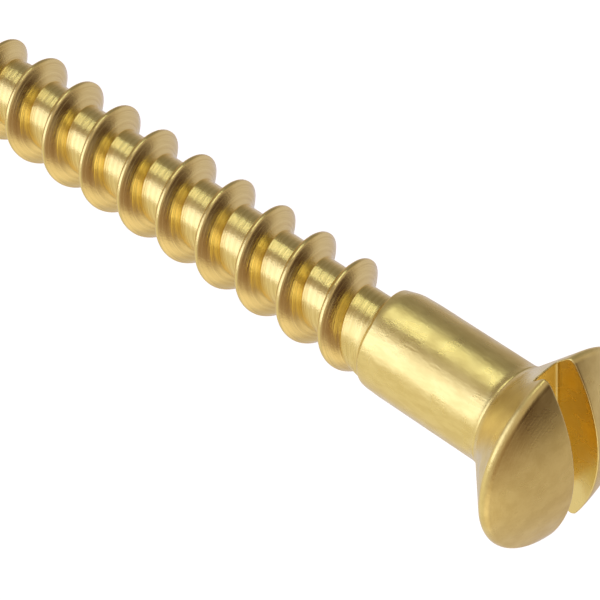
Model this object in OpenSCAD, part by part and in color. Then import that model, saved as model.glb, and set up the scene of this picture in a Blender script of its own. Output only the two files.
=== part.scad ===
// Slotted wood screw with a raised countersunk head, number 8 gauge.
// +Z runs along the axis towards the head. The origin is on the axis at the rim of the
// head, which is the plane of the wood surface once the screw is driven home.
// The screw is one piece of brass. Its regions are separate solids that meet face to face.

/* [Head] */
// Diameter of the head at its rim, twice the shank as on a traditional wood screw
head_d = 8.34; // [7.8:0.02:9]
// Height of the domed top above the rim
dome_h = 1.22; // [0.8:0.02:1.6]
// Height of the straight land under the rim
land_h = 0.27; // [0.1:0.01:0.5]
// Included angle of the countersink
seat_angle = 90; // [82:1:100]
// Width of the driver slot
slot_w = 1.3; // [1:0.05:1.6]
// Depth of the slot floor below the rim
slot_floor_depth = 0.78; // [0.4:0.02:1.2]

/* [Shank] */
// Diameter of the plain shank
shank_d = 4.17; // [4:0.01:4.3]
// Length of the plain shank below the countersink
shank_l = 5.84; // [3:0.02:10]
// Length of the shallow taper at the threaded end of the shank
taper_l = 1.2; // [0.5:0.1:2]
// Diameter at the small end of that taper
taper_d = 3.6; // [3.2:0.05:3.9]
// Length of the steep bevel that runs from the taper down to the thread root
bevel_l = 0.9; // [0.3:0.1:1.2]

/* [Thread] */
// Outer diameter of the thread
thread_d = 4.23; // [4.1:0.01:4.5]
// Diameter of the thread root
core_d = 2.7; // [2.4:0.05:3]
// Distance from one crest to the next
pitch = 2.24; // [1.8:0.02:2.6]
// Width of the flat along the crest
crest_w = 0.05; // [0.03:0.01:0.15]
// Width of the flank on the point side of the crest
point_flank_w = 0.41; // [0.3:0.01:0.6]
// Width of the flank on the head side of the crest
head_flank_w = 0.74; // [0.5:0.01:0.9]
// Height on the axis where the crest crosses the slot's direction
thread_phase = -9.71; // [-10.5:0.01:-9]

/* [Point] */
// Length of the screw from the rim to the tip
screw_l = 38.1; // [34:0.1:45]
// Length of the gimlet point
point_l = 8.1; // [5:0.1:9]
// Fullness of the gimlet point: 1 is a straight cone and 2 is a blunt paraboloid
point_curve = 1.3; // [1:0.1:2]

/* [Hidden] */

$fn = 96;
BRASS = "#D9B65C";
BRASS_THREAD = "#E0B650";

head_r = head_d / 2;
shank_r = shank_d / 2;
taper_r = taper_d / 2;
core_r = core_d / 2;
thread_r = thread_d / 2;

// Heights along the axis, from the rim down to the tip.
seat_z = -land_h;
shank_top_z = seat_z - (head_r - shank_r) / tan(seat_angle / 2);
taper_top_z = shank_top_z - shank_l;
bevel_top_z = taper_top_z - taper_l;
core_top_z = bevel_top_z - bevel_l;
tip_z = -screw_l;
point_top_z = tip_z + point_l;

// The dome is a cap of one sphere.
dome_sphere_r = (head_r * head_r + dome_h * dome_h) / (2 * dome_h);
dome_steps = 12;
dome_half_angle = asin(head_r / dome_sphere_r);

// The point is a slightly swollen cone that leaves the core without a corner.
point_steps = 12;
function point_share(z) = min(1, max(0, (point_top_z - z) / point_l));
function point_swell(z) = 1 - pow(point_share(z), point_curve);

// Heights and radii of everything that the thread ridge stands on, lowest first.
point_outline = [
    for (i = [point_steps : -1 : 0])
        let (z = point_top_z - point_l * i / point_steps)
        [z, core_r * point_swell(z)]
];
body_outline = concat(point_outline, [
    [core_top_z, core_r],
    [bevel_top_z, taper_r],
    [taper_top_z, shank_r]
]);
function body_r(z) = lookup(z, body_outline);

// The ridge is lofted through sections that stand on the helix. It starts just short of
// the tip, is full height along the core and runs out on the shank's taper.
sections_per_turn = 36;
bare_tip_l = 0.5;
runout_l = 0.7;
runout_overlap_l = 0.42;
runout_end_r = 1.92;
ridge_start_z = tip_z + bare_tip_l;
ridge_end_z = bevel_top_z + runout_overlap_l;
ridge_sections = floor((ridge_end_z - ridge_start_z) / pitch * sections_per_turn);
first_turn = (ridge_start_z - thread_phase) / pitch;

function runout_share(z) = min(1, max(0, 1 - (ridge_end_z - z) / runout_l));
function crest_r(z) =
    (thread_r - (thread_r - runout_end_r) * runout_share(z)) * point_swell(z);

// One section, as height and radius pairs around the ridge.
function ridge_section(z) =
    let (fullness = (crest_r(z) - body_r(z)) / (thread_r - core_r))
    let (low_z = z - crest_w / 2 - point_flank_w * fullness)
    let (high_z = z + crest_w / 2 + head_flank_w * fullness)
    [
        [low_z, body_r(low_z)],
        [z - crest_w / 2, crest_r(z)],
        [z + crest_w / 2, crest_r(z)],
        [high_z, body_r(high_z)],
        [z, body_r(z)]
    ];
section_size = 5;

// The driver slot's cutting box passes the edge and the top of the head by a spare 1 mm.
slot_spare = 1;
slot_l = head_d + 2 * slot_spare;
slot_h = dome_h + slot_floor_depth + slot_spare;

module head_blank() {
    rotate_extrude()
        polygon(concat(
            [
                for (i = [0 : dome_steps])
                    let (a = dome_half_angle * i / dome_steps)
                    [dome_sphere_r * sin(a), dome_h - dome_sphere_r * (1 - cos(a))]
            ],
            [
                [head_r, seat_z],
                [shank_r, shank_top_z],
                [0, shank_top_z]
            ]
        ));
}

module driver_slot() {
    translate([-slot_l / 2, -slot_w / 2, -slot_floor_depth])
        cube([slot_l, slot_w, slot_h]);
}

module head() {
    color(BRASS)
        difference() {
            head_blank();
            driver_slot();
        }
}

module shank() {
    color(BRASS) {
        translate([0, 0, taper_top_z])
            cylinder(r = shank_r, h = shank_l);
        translate([0, 0, bevel_top_z])
            cylinder(r1 = taper_r, r2 = shank_r, h = taper_l);
        translate([0, 0, core_top_z])
            cylinder(r1 = core_r, r2 = taper_r, h = bevel_l);
    }
}

module thread_core() {
    color(BRASS_THREAD)
        translate([0, 0, point_top_z])
            cylinder(r = core_r, h = core_top_z - point_top_z);
}

module thread() {
    points = [
        for (i = [0 : ridge_sections])
            let (turn = first_turn + i / sections_per_turn)
            let (z = thread_phase + pitch * turn)
            let (a = 360 * turn)
            for (p = ridge_section(z))
                [p[1] * cos(a), p[1] * sin(a), p[0]]
    ];
    sides = [
        for (i = [0 : ridge_sections - 1], j = [0 : section_size - 1])
            let (a = i * section_size + j)
            let (b = i * section_size + (j + 1) % section_size)
            for (f = [[a, a + section_size, b], [b, a + section_size, b + section_size]])
                f
    ];
    first_cap = [for (j = [0 : section_size - 1]) j];
    last_cap = [for (j = [section_size - 1 : -1 : 0]) ridge_sections * section_size + j];
    color(BRASS_THREAD)
        polyhedron(points, concat([first_cap], sides, [last_cap]));
}

module point() {
    color(BRASS_THREAD)
        rotate_extrude()
            polygon(concat(
                [[0, point_top_z]],
                [for (p = point_outline) [p[1], p[0]]]
            ));
}

head();
shank();
thread_core();
thread();
point();
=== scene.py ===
"""Looks of the brass wood screw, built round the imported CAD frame.

Each CAD node is replaced by a finer mesh of the same region. Lengths inside the shape
functions are in millimetres, and every mesh is scaled to metres when it is made.
"""
import math

import bpy
import numpy as np
from mathutils import Matrix, Vector


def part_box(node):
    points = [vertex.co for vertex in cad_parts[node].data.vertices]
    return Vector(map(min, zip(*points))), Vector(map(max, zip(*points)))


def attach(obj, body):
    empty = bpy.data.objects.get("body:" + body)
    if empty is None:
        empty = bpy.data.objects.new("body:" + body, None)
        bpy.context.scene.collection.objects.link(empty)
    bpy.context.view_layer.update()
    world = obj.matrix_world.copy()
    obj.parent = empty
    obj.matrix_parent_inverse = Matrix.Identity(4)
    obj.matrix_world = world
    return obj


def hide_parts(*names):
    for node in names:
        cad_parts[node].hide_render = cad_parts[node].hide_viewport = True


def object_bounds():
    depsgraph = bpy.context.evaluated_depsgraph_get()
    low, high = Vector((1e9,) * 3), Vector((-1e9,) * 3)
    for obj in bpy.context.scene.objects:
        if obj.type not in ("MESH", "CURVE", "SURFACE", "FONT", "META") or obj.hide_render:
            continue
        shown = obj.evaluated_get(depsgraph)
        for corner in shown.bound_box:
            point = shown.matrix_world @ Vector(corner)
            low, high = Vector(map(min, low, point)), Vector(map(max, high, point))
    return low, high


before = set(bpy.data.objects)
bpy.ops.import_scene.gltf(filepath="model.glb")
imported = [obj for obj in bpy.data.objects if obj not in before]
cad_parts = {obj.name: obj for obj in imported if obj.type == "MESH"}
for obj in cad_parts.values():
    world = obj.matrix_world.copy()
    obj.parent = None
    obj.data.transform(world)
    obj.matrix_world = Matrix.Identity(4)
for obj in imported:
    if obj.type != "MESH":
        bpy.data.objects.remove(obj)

MM = 0.001
CAD_LOW, CAD_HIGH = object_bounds()


# ---------------------------------------------------------------- sizes from the frame

def node_box(node):
    """Lowest and highest corner of a CAD node, in millimetres."""
    low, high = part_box(node)
    return np.array(low) / MM, np.array(high) / MM


_, HEAD_HIGH = node_box("head")
_, SHANK_HIGH = node_box("shank")
_, THREAD_HIGH = node_box("thread")
_, CORE_HIGH = node_box("thread_core")
POINT_LOW, POINT_HIGH = node_box("point")

# The slot runs along X, so the head has its full radius along Y only.
HEAD_R = HEAD_HIGH[1]
SHANK_R = SHANK_HIGH[1]
CORE_R = CORE_HIGH[1]
THREAD_R = THREAD_HIGH[1]
SEAT_Z = SHANK_HIGH[2]
CORE_TOP_Z = CORE_HIGH[2]
POINT_TOP_Z = POINT_HIGH[2]
TIP_Z = POINT_LOW[2]

# ---------------------------------------------------------------- sizes of the finer shape

DOME_H = 1.22
DOME_SPHERE_R = (HEAD_R ** 2 + DOME_H ** 2) / (2 * DOME_H)
SLOT_W = 1.3
SLOT_FLOOR_Z = -0.78

# A round or fillet is given as the distance over which its two surfaces blend.
RIM_ROUND = 0.18
LAND_ROUND = 0.10
SLOT_EDGE_ROUND = 0.06
SLOT_ROOT_ROUND = 0.12
NECK_FILLET = 0.35

# Below the shoulder the shank tapers, before the groove is cut into it.
SHOULDER_Z = -8.2
SHOULDER_SLOPE = 0.27
SHOULDER_ROUND = 0.05

# Turns of the helix are counted up from the last full crest below the shank.
PITCH = 2.24
LAST_CREST_Z = -10.06
THREAD_START_DEG = -56

# The ridge's section. Slopes are shares of its height for each head flank's width.
POINT_FLANK_W = 0.44
POINT_FLANK_CURVE = 1.25
HEAD_FLANK_W = 0.50
OUTER_SLOPE = 0.74
INNER_SLOPE = 1.22
CREST_BEFORE = 0.12
CREST_AFTER = 0.11
POINT_CURVE = 1.3

# The groove's last turn: its floor climbs, and its end wall runs round the shank.
FLOOR_RISE = 0.55
FLOOR_RISE_CURVE = 8
WALL_FIRST_TURN = 0.3
WALL_LAST_TURN = 0.75
WALL_SINK = 0.02
RUNOUT_ROUND = 0.1

COLUMNS = 192
ROW_GAP = 0.04


# ---------------------------------------------------------------- mesh helpers

def mesh_object(name, points, faces, normals=None):
    """A smooth-shaded mesh object from points in millimetres."""
    mesh = bpy.data.meshes.new(name)
    faces = [list(map(int, face)) for face in faces]
    mesh.from_pydata((np.asarray(points) * MM).tolist(), [], faces)
    mesh.validate()
    mesh.polygons.foreach_set("use_smooth", [True] * len(mesh.polygons))
    if normals is not None:
        mesh.normals_split_custom_set_from_vertices(normals.tolist())
    mesh.update()
    piece = bpy.data.objects.new(name, mesh)
    bpy.context.scene.collection.objects.link(piece)
    return piece


def smooth_max(a, b, spread):
    """The larger of a and b, with the corner between them rounded over spread."""
    near = np.clip(1 - np.abs(a - b) / spread, 0, 1)
    return np.maximum(a, b) + spread / 4 * near ** 2


def smooth_min(a, b, spread):
    """The smaller of a and b, rounded in the same way."""
    return -smooth_max(-a, -b, spread)


def ring_quads(rows, columns):
    """Quads of a grid whose columns close round."""
    quads = []
    for i in range(rows - 1):
        for j in range(columns):
            a = i * columns + j
            b = i * columns + (j + 1) % columns
            quads.append((a, b, b + columns, a + columns))
    return quads


def turned_piece(name, heights, radius_at):
    """A closed solid round the axis. radius_at(angles, height) gives each row's radii."""
    angles = np.arange(COLUMNS) * 2 * math.pi / COLUMNS
    rows = []
    for z in heights:
        r = np.broadcast_to(radius_at(angles, z), angles.shape)
        row = [r * np.cos(angles), r * np.sin(angles), np.full_like(angles, z)]
        rows.append(np.stack(row, 1))
    points = np.concatenate(rows)
    faces = [quad[::-1] for quad in ring_quads(len(heights), COLUMNS)]
    top, bottom = len(points), len(points) + 1
    points = np.concatenate([points, [[0, 0, heights[0]], [0, 0, heights[-1]]]])
    last = (len(heights) - 1) * COLUMNS
    for j in range(COLUMNS):
        k = (j + 1) % COLUMNS
        faces.append((j, k, top))
        faces.append((last + k, last + j, bottom))
    return mesh_object(name, points, faces)


def sharpen_flat_ends(piece):
    """Marks the rims of the flat ends sharp, which keeps their shading off the sides."""
    level = 0.999
    mesh = piece.data
    flat = [abs(p.normal.z) > level for p in mesh.polygons]
    touching = {}
    for p in mesh.polygons:
        for key in p.edge_keys:
            touching.setdefault(key, []).append(flat[p.index])
    for edge in mesh.edges:
        kinds = touching[edge.key]
        if any(kinds) and not all(kinds):
            edge.use_edge_sharp = True


# ---------------------------------------------------------------- head

def head_field(p):
    """Signed distance, roughly, from the head's surface: negative inside the brass."""
    x, y, z = p[..., 0], p[..., 1], p[..., 2]
    rho = np.hypot(x, y)
    dome = np.hypot(rho, z - DOME_H + DOME_SPHERE_R) - DOME_SPHERE_R
    cone = (rho - SHANK_R - (z - SEAT_Z)) / math.sqrt(2)
    side = smooth_min(cone, rho - SHANK_R, NECK_FILLET)
    blank = smooth_max(smooth_max(dome, rho - HEAD_R, RIM_ROUND), side, LAND_ROUND)
    slot = smooth_max(np.abs(y) - SLOT_W / 2, SLOT_FLOOR_Z - z, SLOT_ROOT_ROUND)
    return smooth_max(blank, -slot, SLOT_EDGE_ROUND)


def field_gradient(field, p, reach=1e-3):
    """Slope of a field along each axis, by central differences."""
    steps = np.eye(3) * reach
    return np.stack([(field(p + s) - field(p - s)) / (2 * reach) for s in steps], -1)


def skin_of(field, low, high, step):
    """Points and quads on the zero surface of a field, one point in each cell it crosses."""
    axes = [np.arange(a, b + step, step) for a, b in zip(low, high)]
    grid = np.stack(np.meshgrid(*axes, indexing="ij"), -1)
    inside = field(grid) < 0
    cells = tuple(n - 1 for n in inside.shape)
    count = np.zeros(cells, int)
    for corner in np.ndindex(2, 2, 2):
        count += inside[tuple(slice(c, c + n) for c, n in zip(corner, cells))]
    crossed = (count > 0) & (count < 8)
    number = np.full(cells, -1)
    number[crossed] = np.arange(crossed.sum())
    points = np.array(low) + (np.argwhere(crossed) + 0.5) * step
    quads = []
    for axis in range(3):
        u, v = (axis + 1) % 3, (axis + 2) % 3
        here = np.take(inside, range(inside.shape[axis] - 1), axis)
        there = np.take(inside, range(1, inside.shape[axis]), axis)
        for leaving in (True, False):
            edges = np.argwhere((here != there) & (here == leaving))
            edges = edges[(edges[:, u] > 0) & (edges[:, v] > 0)]
            edges = edges[(edges[:, u] < cells[u]) & (edges[:, v] < cells[v])]
            ring = []
            for du, dv in ((-1, -1), (0, -1), (0, 0), (-1, 0)):
                cell = edges.copy()
                cell[:, u] += du
                cell[:, v] += dv
                ring.append(number[tuple(cell.T)])
            quad = np.stack(ring, 1)
            quads.append(quad if leaving else quad[:, ::-1])
    return points, np.concatenate(quads)


def make_head():
    """The head's skin, settled onto its field, with exact normals."""
    step = 0.05
    margin = 0.123
    settling_rounds = 5

    def closed_field(p):
        return np.maximum(head_field(p), SEAT_Z - p[..., 2])

    low = (-HEAD_R - margin, -HEAD_R - margin, SEAT_Z - margin)
    high = (HEAD_R + margin, HEAD_R + margin, DOME_H + margin)
    points, quads = skin_of(closed_field, low, high, step)
    for _ in range(settling_rounds):
        slope = field_gradient(closed_field, points)
        points -= (closed_field(points) / (slope ** 2).sum(1))[:, None] * slope
    # The seam circle with the shank is made exact.
    rho = np.hypot(points[:, 0], points[:, 1])
    seam_r = neck_radius(np.zeros(1))[0]
    seam = (points[:, 2] < SEAT_Z + step / 2) & (rho > seam_r - step / 2)
    points[seam, :2] *= (seam_r / rho[seam])[:, None]
    points[seam, 2] = SEAT_Z
    normals = field_gradient(head_field, points)
    normals /= np.linalg.norm(normals, axis=1)[:, None]
    flat_end = (points[:, 2] < SEAT_Z + step / 4) & ~seam
    normals[flat_end] = (0, 0, -1)
    return mesh_object("head_brass", points, quads, normals)


# ---------------------------------------------------------------- shank and thread root

def neck_radius(below):
    """Radius of the shank this far below the countersink, where a fillet joins the two.

    It is where the side in head_field is zero, found by putting each answer back in.
    """
    rounds = 20
    gap = np.zeros_like(below)
    for _ in range(rounds):
        other = (gap + below) / math.sqrt(2)
        near = np.clip(1 - np.abs(other - gap) / NECK_FILLET, 0, 1)
        gap = NECK_FILLET / 4 * near ** 2
    return SHANK_R + gap


def crest_z(turn):
    """Height of the thread's crest. Turn 0 is the last full turn, below the shank."""
    return LAST_CREST_Z + PITCH * turn


def root_radius(angles, z):
    """Radius of the shank's end and the thread root, where the cut groove runs out.

    The turn of the crest that stands next above each place says how far the groove has
    run out there.
    """
    turn = ((angles - math.radians(THREAD_START_DEG)) / (2 * math.pi)) % 1
    above = turn + np.ceil((z - crest_z(turn)) / PITCH)
    floor = CORE_R + FLOOR_RISE * np.maximum(above, 0) ** FLOOR_RISE_CURVE
    gap = np.maximum(crest_z(np.minimum(above, WALL_LAST_TURN)) - z, 0)
    climb = np.clip(1 - gap / POINT_FLANK_W, 0, 1) ** POINT_FLANK_CURVE
    wall = floor + (THREAD_R - floor) * climb - WALL_SINK
    groove = np.where(above > WALL_FIRST_TURN, wall, floor)
    taper = SHANK_R - SHOULDER_SLOPE * (SHOULDER_Z - z)
    taper = np.maximum(taper, CORE_R + RUNOUT_ROUND)
    blank = smooth_min(np.full_like(groove, SHANK_R), taper, SHOULDER_ROUND)
    return smooth_min(blank, groove, RUNOUT_ROUND)


def make_shank():
    """Rows are close at the neck's fillet and where the groove cuts in."""
    neck_l, neck_gap = 0.6, 0.05
    shoulder_margin = 0.2
    root_margin = 0.5
    plain_rows = 12
    neck = np.arange(0, neck_l, neck_gap)
    plain = np.linspace(neck_l, SEAT_Z - SHOULDER_Z - shoulder_margin, plain_rows)
    shoulder = np.arange(SHOULDER_Z + shoulder_margin - ROW_GAP, CORE_TOP_Z, -ROW_GAP)
    heights = np.concatenate([SEAT_Z - neck, SEAT_Z - plain, shoulder, [CORE_TOP_Z]])

    def radius_at(angles, z):
        if z > SHOULDER_Z + root_margin:
            return neck_radius(np.full_like(angles, SEAT_Z - z))
        return root_radius(angles, z)

    return turned_piece("shank_brass", heights, radius_at)


def make_core():
    """Rows are close in the first turn, where the groove can still change."""
    plain_rows = 40
    shaped = np.arange(CORE_TOP_Z, LAST_CREST_Z - PITCH, -ROW_GAP)
    plain = np.linspace(shaped[-1] - ROW_GAP, POINT_TOP_Z, plain_rows)
    heights = np.concatenate([shaped, plain])
    return turned_piece("thread_core_brass", heights, root_radius)


def point_swell(z):
    """Share of the full radius left at a height on the gimlet point."""
    share = np.clip((POINT_TOP_Z - z) / (POINT_TOP_Z - TIP_Z), 0, 1)
    return 1 - share ** POINT_CURVE


def make_point():
    """The point's tip is a circle too small to see, not a single vertex."""
    rows = 48
    tip_r = 0.02
    heights = POINT_TOP_Z + (TIP_Z - POINT_TOP_Z) * np.linspace(0, 1, rows)

    def radius_at(angles, z):
        return np.maximum(CORE_R * point_swell(z), tip_r)

    return turned_piece("point_brass", heights, radius_at)


# ---------------------------------------------------------------- thread ridge

def base_radius(angles, z):
    """What the ridge stands on at any height."""
    return np.where(z > POINT_TOP_Z, root_radius(angles, z), CORE_R * point_swell(z))


def crest_radius(turn):
    """The ridge is full height up to its last turn, then runs out into the shoulder."""
    fade_start, fade_turns = 0.15, 0.45
    fade_drop, fade_curve = 0.3, 1.3
    share = np.clip((turn - fade_start) / fade_turns, 0, 1)
    runout = THREAD_R - fade_drop * share ** fade_curve
    return runout * point_swell(crest_z(turn))


def ridge_height(offset):
    """Height share of the ridge at an offset along the axis from its crest.

    The point side curves up to a well rounded crest. From there the head side falls in
    two slopes, of which the inner is the steeper.
    """
    crest_round, edge_round, bend_round = 0.4, 0.05, 0.08
    climb = 1 + (offset + CREST_BEFORE) / POINT_FLANK_W
    point_side = np.maximum(climb, 0) ** POINT_FLANK_CURVE
    fall = (offset - CREST_AFTER) / HEAD_FLANK_W
    head_side = smooth_min(1 - OUTER_SLOPE * fall, INNER_SLOPE * (1 - fall), bend_round)
    crest = smooth_min(point_side, np.ones_like(offset), crest_round)
    return np.maximum(smooth_min(crest, head_side, edge_round), 0)


def make_thread():
    """The ridge, lofted through sections along the helix. Its foot bites into the root."""
    bite = 0.12
    per_turn = 120
    bare_tip = 0.5
    last_turn = 0.62
    first_turn = (TIP_Z + bare_tip - LAST_CREST_Z) / PITCH
    sections = int((last_turn - first_turn) * per_turn)
    turns = np.linspace(first_turn, last_turn, sections)[:, None]
    # The points of a section are closest together near the crest.
    lowest = -CREST_BEFORE - POINT_FLANK_W
    highest = CREST_AFTER + HEAD_FLANK_W
    near, clear = 0.20, 0.24
    offset = np.concatenate([
        np.linspace(lowest, -clear, 8),
        np.linspace(-near, near, 16),
        np.linspace(clear, highest, 14),
    ])
    share = ridge_height(offset)
    angles = 2 * math.pi * turns + math.radians(THREAD_START_DEG)
    middle = crest_z(turns)
    top_r = crest_radius(turns)
    # Where the ridge is lower it is narrower too.
    just_below, least_fullness = 0.03, 0.05
    fullness = (top_r - base_radius(angles, middle - just_below)) / (THREAD_R - CORE_R)
    fullness = np.clip(np.abs(fullness), least_fullness, 1)
    z = middle + offset * fullness
    base = base_radius(angles + 0 * z, z)
    r = base + (top_r - base) * share
    inner_r = np.minimum(r[:, [-1, 0]], base[:, [-1, 0]]) - bite
    r = np.concatenate([r, inner_r], 1)
    z = np.concatenate([z, z[:, [-1, 0]]], 1)
    points = np.stack([r * np.cos(angles), r * np.sin(angles), z], -1)
    size = r.shape[1]
    faces = [(a, d, c, b) for a, b, c, d in ring_quads(sections, size)]
    faces.append(tuple(range(size)))
    faces.append(tuple(range(sections * size - 1, (sections - 1) * size - 1, -1)))
    return mesh_object("thread_brass", points.reshape(-1, 3), faces)


# ---------------------------------------------------------------- node helpers

class Nodes:
    """Small helper that adds and links shader nodes."""

    def __init__(self, tree):
        self.tree = tree

    def add(self, kind, settings=(), **inputs):
        """Adds a node. Inputs are given by name, or by number as i0, i1 and so on."""
        node = self.tree.nodes.new(kind)
        for key, value in dict(settings).items():
            setattr(node, key, value)
        for key, value in inputs.items():
            self.put(node.inputs[int(key[1:]) if key[0] == "i" else key], value)
        return node

    def put(self, socket, value):
        if isinstance(value, bpy.types.NodeSocket):
            self.tree.links.new(value, socket)
        else:
            socket.default_value = value

    def math(self, operation, a, b=0.0):
        return self.add("ShaderNodeMath", {"operation": operation}, i0=a, i1=b).outputs[0]

    def plus(self, a, b):
        return self.math("ADD", a, b)

    def minus(self, a, b):
        return self.math("SUBTRACT", a, b)

    def times(self, a, b):
        return self.math("MULTIPLY", a, b)

    def combine(self, x, y, z):
        return self.add("ShaderNodeCombineXYZ", i0=x, i1=y, i2=z).outputs[0]

    def vector_math(self, operation, **inputs):
        return self.add("ShaderNodeVectorMath", {"operation": operation}, **inputs).outputs

    def noise(self, vector, scale, detail=2.0, roughness=0.5):
        pattern = {"Scale": scale, "Detail": detail, "Roughness": roughness}
        return self.add("ShaderNodeTexNoise", i0=vector, **pattern).outputs[0]

    def spread(self, value, from_low, from_high, to_low, to_high):
        """Maps a range of values smoothly to another."""
        node = self.add("ShaderNodeMapRange", {"interpolation_type": "SMOOTHSTEP"}, i0=value)
        for i, limit in enumerate((from_low, from_high, to_low, to_high)):
            self.put(node.inputs[i + 1], limit)
        return node.outputs[0]

    def blend(self, factor, a, b):
        node = self.add("ShaderNodeMix", {"data_type": "FLOAT"}, i0=factor, i2=a, i3=b)
        return node.outputs[0]

    def mix_colour(self, factor, a, b):
        node = self.add("ShaderNodeMix", {"data_type": "RGBA"}, i0=factor, i6=a, i7=b)
        return node.outputs[2]


# ---------------------------------------------------------------- brass

def brass(name, tone, shade, roughness, marks):
    """Bare brass in one finish.

    marks(nodes, in_mm, x, y, z, rho) gives the height of the tool marks, the share of the
    lighter tone, the marks' depth in millimetres and what they add to the roughness.
    """
    material = bpy.data.materials.new(name)
    material.use_nodes = True
    nodes = Nodes(material.node_tree)
    shader = material.node_tree.nodes["Principled BSDF"]
    shader.inputs["Metallic"].default_value = 1.0
    place = nodes.add("ShaderNodeTexCoord").outputs["Object"]
    in_mm = nodes.vector_math("SCALE", i0=place, i3=1 / MM)[0]
    x, y, z = nodes.add("ShaderNodeSeparateXYZ", i0=in_mm).outputs
    rho = nodes.math("SQRT", nodes.plus(nodes.times(x, x), nodes.times(y, y)))
    height, shine, depth, rougher = marks(nodes, in_mm, x, y, z, rho)
    tint = nodes.mix_colour(shine, (*shade, 1), (*tone, 1))
    nodes.put(shader.inputs["Base Color"], tint)
    rubbed = nodes.spread(nodes.noise(in_mm, 0.9), 0.35, 0.65, *roughness)
    nodes.put(shader.inputs["Roughness"], nodes.plus(rubbed, rougher))
    bump = nodes.add("ShaderNodeBump", Strength=1.0, Distance=depth * MM, Height=height)
    nodes.put(shader.inputs["Normal"], bump.outputs[0])
    return material


def lathe_marks(nodes, in_mm, x, y, z, rho):
    """Turning marks round the axis, fine grain, a few dark specks and a rougher rim.

    The walls of the slot take the full lighter tone without specks, a painted brightening of
    the light reflected between them, and are a little smoother.
    """
    depth = 0.006
    rings_per_mm = 14.0
    rim_inner_r, rim_outer_r = 3.9, 4.15
    drift = nodes.times(nodes.plus(x, y), 0.35)
    across = nodes.combine(nodes.times(rho, rings_per_mm), drift, nodes.times(z, rings_per_mm))
    rings = nodes.noise(across, 1.0, 3)
    grain = nodes.noise(in_mm, 16.0, 3)
    spots = nodes.noise(in_mm, 5.0, 3)
    height = nodes.plus(nodes.times(rings, 0.5), nodes.times(grain, 0.7))
    rim = nodes.spread(rho, rim_inner_r, rim_outer_r, 0.0, 1.6)
    height = nodes.plus(height, nodes.times(spots, rim))
    specks = nodes.spread(spots, 0.62, 0.76, 1.0, 0.4)
    patches = nodes.spread(nodes.noise(in_mm, 1.3, 5, 0.65), 0.35, 0.65, 0.3, 1.0)
    half_w = SLOT_W / 2
    off_middle = nodes.math("ABSOLUTE", y)
    in_slot = nodes.spread(off_middle, half_w + 0.01, half_w + 0.06, 1.0, 0.0)
    # Inside the slot the lighter tone is painted in full, to brighten the reflections between
    # its walls.
    shine = nodes.math("MAXIMUM", nodes.times(specks, patches), in_slot)
    return height, shine, depth, nodes.times(in_slot, -0.06)


def drawn_marks(nodes, in_mm, x, y, z, rho):
    """Lengthwise marks, as on drawn bar, over slow unevenness, with faint specks.

    Below the shank's own surface the thread cutter has left its marks instead.
    """
    depth = 0.0085
    across_per_mm, along_per_mm = 8.0, 2.5
    shallow, deep = 0.03, 0.09
    wall_low_z, wall_high_z = -9.1, -8.8
    stretched = nodes.combine(
        nodes.times(x, across_per_mm),
        nodes.times(y, across_per_mm),
        nodes.times(z, along_per_mm),
    )
    streaks = nodes.noise(stretched, 1.0, 5, 0.65)
    mottle = nodes.noise(in_mm, 3.0, 4, 0.6)
    grain = nodes.noise(in_mm, 14.0, 3)
    height = nodes.plus(streaks, nodes.times(grain, 0.4))
    height = nodes.plus(height, nodes.times(mottle, 0.5))
    specks = nodes.spread(nodes.noise(in_mm, 5.0, 3), 0.68, 0.76, 1.0, 0.3)
    patches = nodes.spread(nodes.noise(stretched, 0.5, 4, 0.6), 0.35, 0.65, 0.35, 1.0)
    shine = nodes.times(specks, patches)

    below = nodes.math("MAXIMUM", nodes.minus(SHOULDER_Z, z), 0.0)
    skin_r = nodes.minus(SHANK_R, nodes.times(below, SHOULDER_SLOPE))
    sunk = nodes.spread(nodes.minus(skin_r, rho), shallow, deep, 0.0, 1.0)
    cut_height, cut_shine, cut_depth, _ = thread_marks(nodes, in_mm, x, y, z, rho)
    cut_height = nodes.times(cut_height, cut_depth / depth)
    # The groove's floor is smoother than the shank, and its end wall is rougher.
    wall = nodes.spread(z, wall_low_z, wall_high_z, 0.0, 0.2)
    rougher = nodes.minus(wall, 0.08)
    return (
        nodes.blend(sunk, height, cut_height),
        nodes.blend(sunk, shine, cut_shine),
        depth,
        nodes.blend(sunk, 0.0, rougher),
    )


def thread_marks(nodes, in_mm, x, y, z, rho):
    """Fine marks that follow the helix, as the thread cutter leaves them.

    The phase is the angle round one pitch, so the pattern has no seam anywhere.
    """
    depth = 0.018
    fineness = 4.0
    rings_per_mm = 6.0
    lead = nodes.times(z, 2 * math.pi / PITCH)
    cos_lead, sin_lead = nodes.math("COSINE", lead), nodes.math("SINE", lead)
    cos_turn, sin_turn = nodes.math("DIVIDE", x, rho), nodes.math("DIVIDE", y, rho)
    cos_phase = nodes.plus(nodes.times(cos_lead, cos_turn), nodes.times(sin_lead, sin_turn))
    sin_phase = nodes.minus(nodes.times(sin_lead, cos_turn), nodes.times(cos_lead, sin_turn))
    drift = nodes.times(nodes.plus(x, y), 0.25)
    place = nodes.combine(
        nodes.times(cos_phase, fineness),
        nodes.times(sin_phase, fineness),
        nodes.plus(nodes.times(rho, rings_per_mm), drift),
    )
    rings = nodes.noise(place, 1.0, 4, 0.6)
    grain = nodes.noise(in_mm, 14.0)
    height = nodes.plus(rings, nodes.times(grain, 0.3))
    slow = nodes.spread(nodes.noise(place, 0.35), 0.3, 0.7, 0.6, 1.0)
    fine = nodes.spread(rings, 0.36, 0.6, 0.0, 1.0)
    return height, nodes.times(slow, fine), depth, 0.0


# ---------------------------------------------------------------- camera, light and floor

CAMERA_PLACE = Vector((-81.54, -55.82, 49.17)) * MM
CAMERA_TARGET = Vector((0.377, -0.559, -12.88)) * MM
CAMERA_ROLL_DEG = -123.44
CAMERA_LENS = 182.0
SENSOR = 36.0


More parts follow.
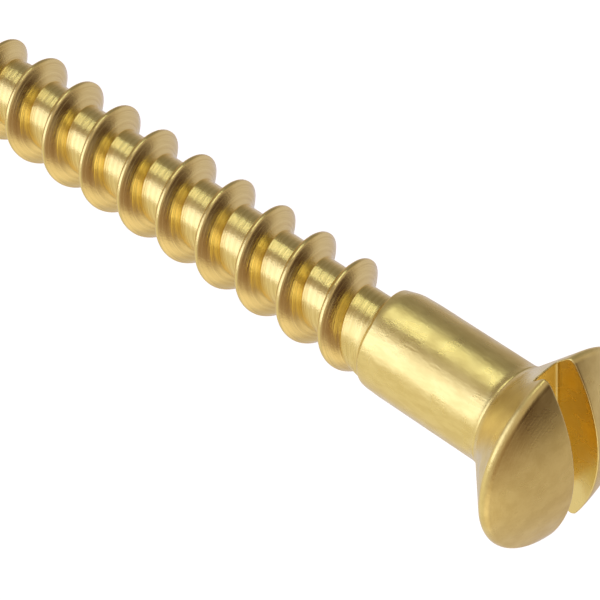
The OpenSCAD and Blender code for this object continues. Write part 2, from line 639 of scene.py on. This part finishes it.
def make_camera():
    """A long lens at the photo's angle, with the screw's axis rolled off the vertical."""
    data = bpy.data.cameras.new("camera")
    data.lens = CAMERA_LENS
    data.sensor_width = SENSOR
    data.clip_start = 0.005
    data.clip_end = 50.0
    camera = bpy.data.objects.new("camera", data)
    bpy.context.scene.collection.objects.link(camera)
    towards = (CAMERA_TARGET - CAMERA_PLACE).to_track_quat("-Z", "Y").to_matrix()
    turn = towards @ Matrix.Rotation(math.radians(-CAMERA_ROLL_DEG), 3, "Z")
    camera.matrix_world = Matrix.Translation(CAMERA_PLACE) @ turn.to_4x4()
    bpy.context.scene.camera = camera
    return camera


def seen_direction(camera, azimuth, elevation):
    """A direction in the row frame, given in degrees as the photographer sees it.

    Azimuth 0 points back at the photographer and 90 to their right; elevation is up.
    """
    a, e = math.radians(azimuth), math.radians(elevation)
    seen = Vector((math.sin(a) * math.cos(e), math.sin(e), math.cos(a) * math.cos(e)))
    return (camera.matrix_world.to_3x3() @ seen).normalized()


def make_softbox(camera, name, azimuth, elevation, width, height, radiance, colour):
    """An area light that faces the screw. Its reach and size are in metres."""
    reach = 0.5
    data = bpy.data.lights.new(name, "AREA")
    data.shape = "RECTANGLE"
    data.size, data.size_y = width, height
    data.energy = radiance * math.pi * width * height
    data.color = colour
    light = bpy.data.objects.new(name, data)
    bpy.context.scene.collection.objects.link(light)
    direction = seen_direction(camera, azimuth, elevation)
    light.location = CAMERA_TARGET + direction * reach
    light.rotation_mode = "QUATERNION"
    light.rotation_quaternion = (-direction).to_track_quat("-Z", "Y")


def make_world(camera, base, patches):
    """Soft surroundings: a base grey with lighter and darker patches in set directions."""
    darkest = (0.03, 0.03, 0.03)
    backdrop = (0.99, 0.99, 0.99, 1)
    world = bpy.data.worlds.new("studio")
    bpy.context.scene.world = world
    world.use_nodes = True
    nodes = Nodes(world.node_tree)
    place = nodes.add("ShaderNodeTexCoord").outputs["Generated"]
    total = base
    for azimuth, elevation, spread, gain in patches:
        centre = seen_direction(camera, azimuth, elevation)
        nearness = nodes.vector_math("DOT_PRODUCT", i0=place, i1=centre)["Value"]
        edge = math.cos(math.radians(spread))
        patch = nodes.spread(nearness, edge, 1.0, 0.0, 1.0)
        total = nodes.vector_math("MULTIPLY_ADD", i0=patch, i1=gain, i2=total)[0]
    lit = nodes.vector_math("MAXIMUM", i0=total, i1=darkest)[0]
    seen = nodes.add("ShaderNodeLightPath").outputs["Is Camera Ray"]
    shown = nodes.mix_colour(seen, lit, backdrop)
    nodes.put(world.node_tree.nodes["Background"].inputs["Color"], shown)


def make_floor():
    """A plain pale floor, 6 m a side. Reflections and shadows pass through it."""
    half = 3.0
    mesh = bpy.data.meshes.new("floor")
    corners = [(-half, -half, 0), (half, -half, 0), (half, half, 0), (-half, half, 0)]
    mesh.from_pydata(corners, [], [(0, 1, 2, 3)])
    floor = bpy.data.objects.new("floor", mesh)
    floor.location.z = CAD_LOW.z
    bpy.context.scene.collection.objects.link(floor)
    material = bpy.data.materials.new("floor_pale")
    material.use_nodes = True
    shader = material.node_tree.nodes["Principled BSDF"]
    shader.inputs["Base Color"].default_value = (0.9, 0.9, 0.9, 1)
    shader.inputs["Roughness"].default_value = 1.0
    shader.inputs["Specular IOR Level"].default_value = 0.0
    shader.inputs["Emission Color"].default_value = (1, 1, 1, 1)
    shader.inputs["Emission Strength"].default_value = 0.75
    mesh.materials.append(material)
    floor.visible_glossy = False
    floor.visible_shadow = False


# ---------------------------------------------------------------- put it together

camera = make_camera()

BRIGHT = (0.90, 0.73, 0.265)
DULL = (0.78, 0.61, 0.20)
CUT_BRIGHT = (0.91, 0.735, 0.28)
CUT_DULL = (0.81, 0.63, 0.22)

satin = brass("brass_satin", BRIGHT, DULL, (0.26, 0.38), lathe_marks)
drawn = brass("brass_bright", BRIGHT, DULL, (0.26, 0.36), drawn_marks)
cut = brass("brass_cut", CUT_BRIGHT, CUT_DULL, (0.17, 0.27), thread_marks)

PIECES = [
    (make_head, "head", "satin_brass", satin),
    (make_shank, "shank", "bright_brass", drawn),
    (make_core, "thread_core", "cut_brass", cut),
    (make_thread, "thread", "cut_brass", cut),
    (make_point, "point", "cut_brass", cut),
]

for make, node, slot, material in PIECES:
    piece = make()
    piece.data.materials.append(material)
    sharpen_flat_ends(piece)
    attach(piece, "root")
    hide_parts(node)

make_softbox(camera, "softbox_left", -67, 8, 0.40, 0.62, 1.0, (0.86, 1.0, 1.6))
make_softbox(camera, "softbox_top", -47, 70, 0.30, 0.17, 1.2, (0.90, 1.0, 1.0))

# Each patch: azimuth, elevation and half width in degrees, and the light it adds.
SURROUNDINGS = [
    (150, 80, 50, (-0.30, -0.24, -0.24)),
    (56, -2, 46, (-0.50, -0.45, -0.46)),
    (25, -42, 36, (-0.24, -0.27, -0.32)),
    (125, 12, 40, (0.08, 0.12, 0.28)),
    (-100, 38, 30, (-0.24, -0.20, -0.20)),
    (-110, -28, 60, (0.25, 0.28, 0.26)),
    (-175, 4, 40, (0.12, 0.20, 0.40)),
    (-51, 48, 20, (-0.22, -0.18, -0.18)),
    (80, -88, 32, (0.44, 0.41, 0.37)),
    (178, -42, 36, (0.08, 0.10, 0.16)),
]
make_world(camera, (0.56, 0.48, 0.48), SURROUNDINGS)
make_floor()
bpy.context.scene.view_settings.view_transform = "Standard"
